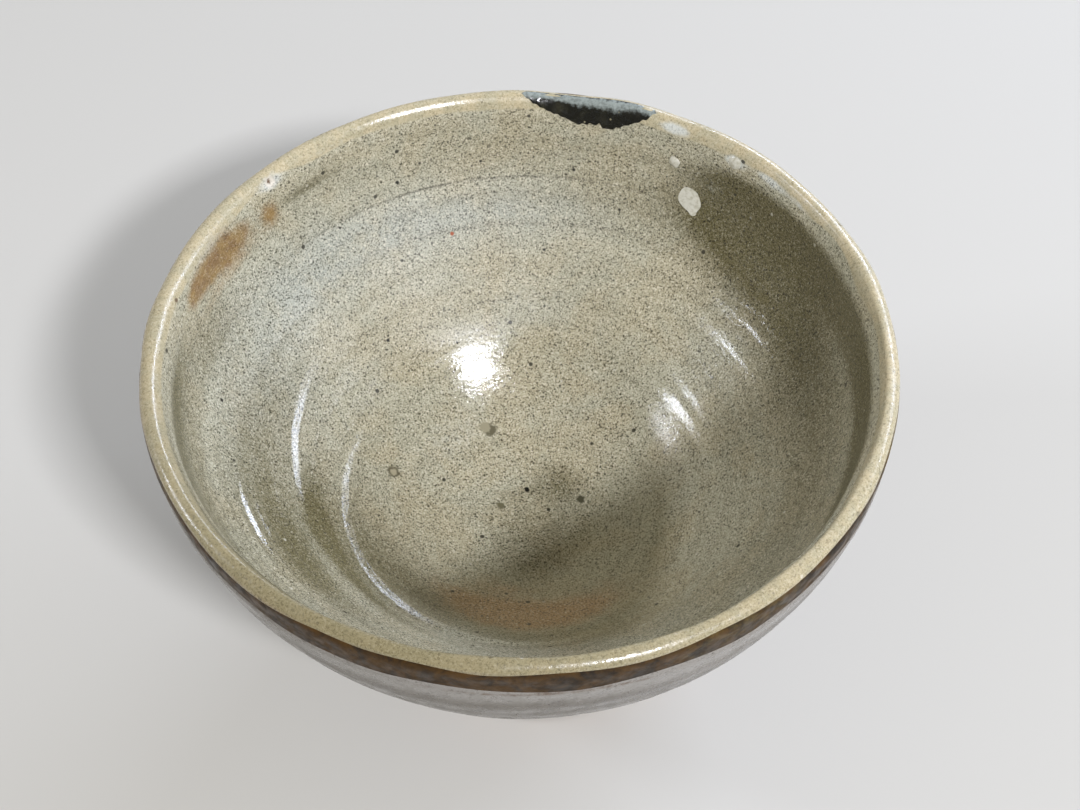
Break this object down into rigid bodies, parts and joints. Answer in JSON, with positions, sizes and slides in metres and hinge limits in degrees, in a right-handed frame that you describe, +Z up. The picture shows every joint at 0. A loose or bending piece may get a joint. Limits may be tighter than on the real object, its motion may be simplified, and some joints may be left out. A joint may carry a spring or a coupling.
{
  "type": "matcha bowl",
  "caption": "Hand-thrown tea bowl with a foot ring, ash-glazed stoneware with a speckled inside, a pale lip over a rust band and a black lacquer mend in the rim.",
  "frame": {"origin": "on the floor at the centre of the foot ring", "axes": "+Z up along the bowl's axis, +Y towards the mended stretch of the rim, +X to its right"},
  "size_m": [0.124, 0.124, 0.072],
  "materials": {
    "clay": "fired stoneware clay, matt and gritty",
    "foot_clay": "bare fired stoneware clay, trimmed and matt",
    "inside_glaze": "glossy ash glaze, beige grey with dense fine dark specks",
    "lip_glaze": "glossy pale straw glaze, mottled",
    "iron_wash": "rust brown iron wash under a thin glaze",
    "outside_glaze": "whitish grey glaze, satin to glossy",
    "lacquer_paste": "hard lacquer and clay paste, matt",
    "black_lacquer": "polished black lacquer",
    "white_glaze": "milky white glossy drops"
  },
  "bodies": {
    "root": {"clay_body": "clay", "foot_ring": "foot_clay", "inside_glaze": "inside_glaze", "lip_glaze": "lip_glaze", "iron_band": "iron_wash", "outside_glaze": "outside_glaze", "mend_filler": "lacquer_paste", "mend_lacquer": "black_lacquer", "white_drops": "white_glaze"}
  },
  "joints": []
}
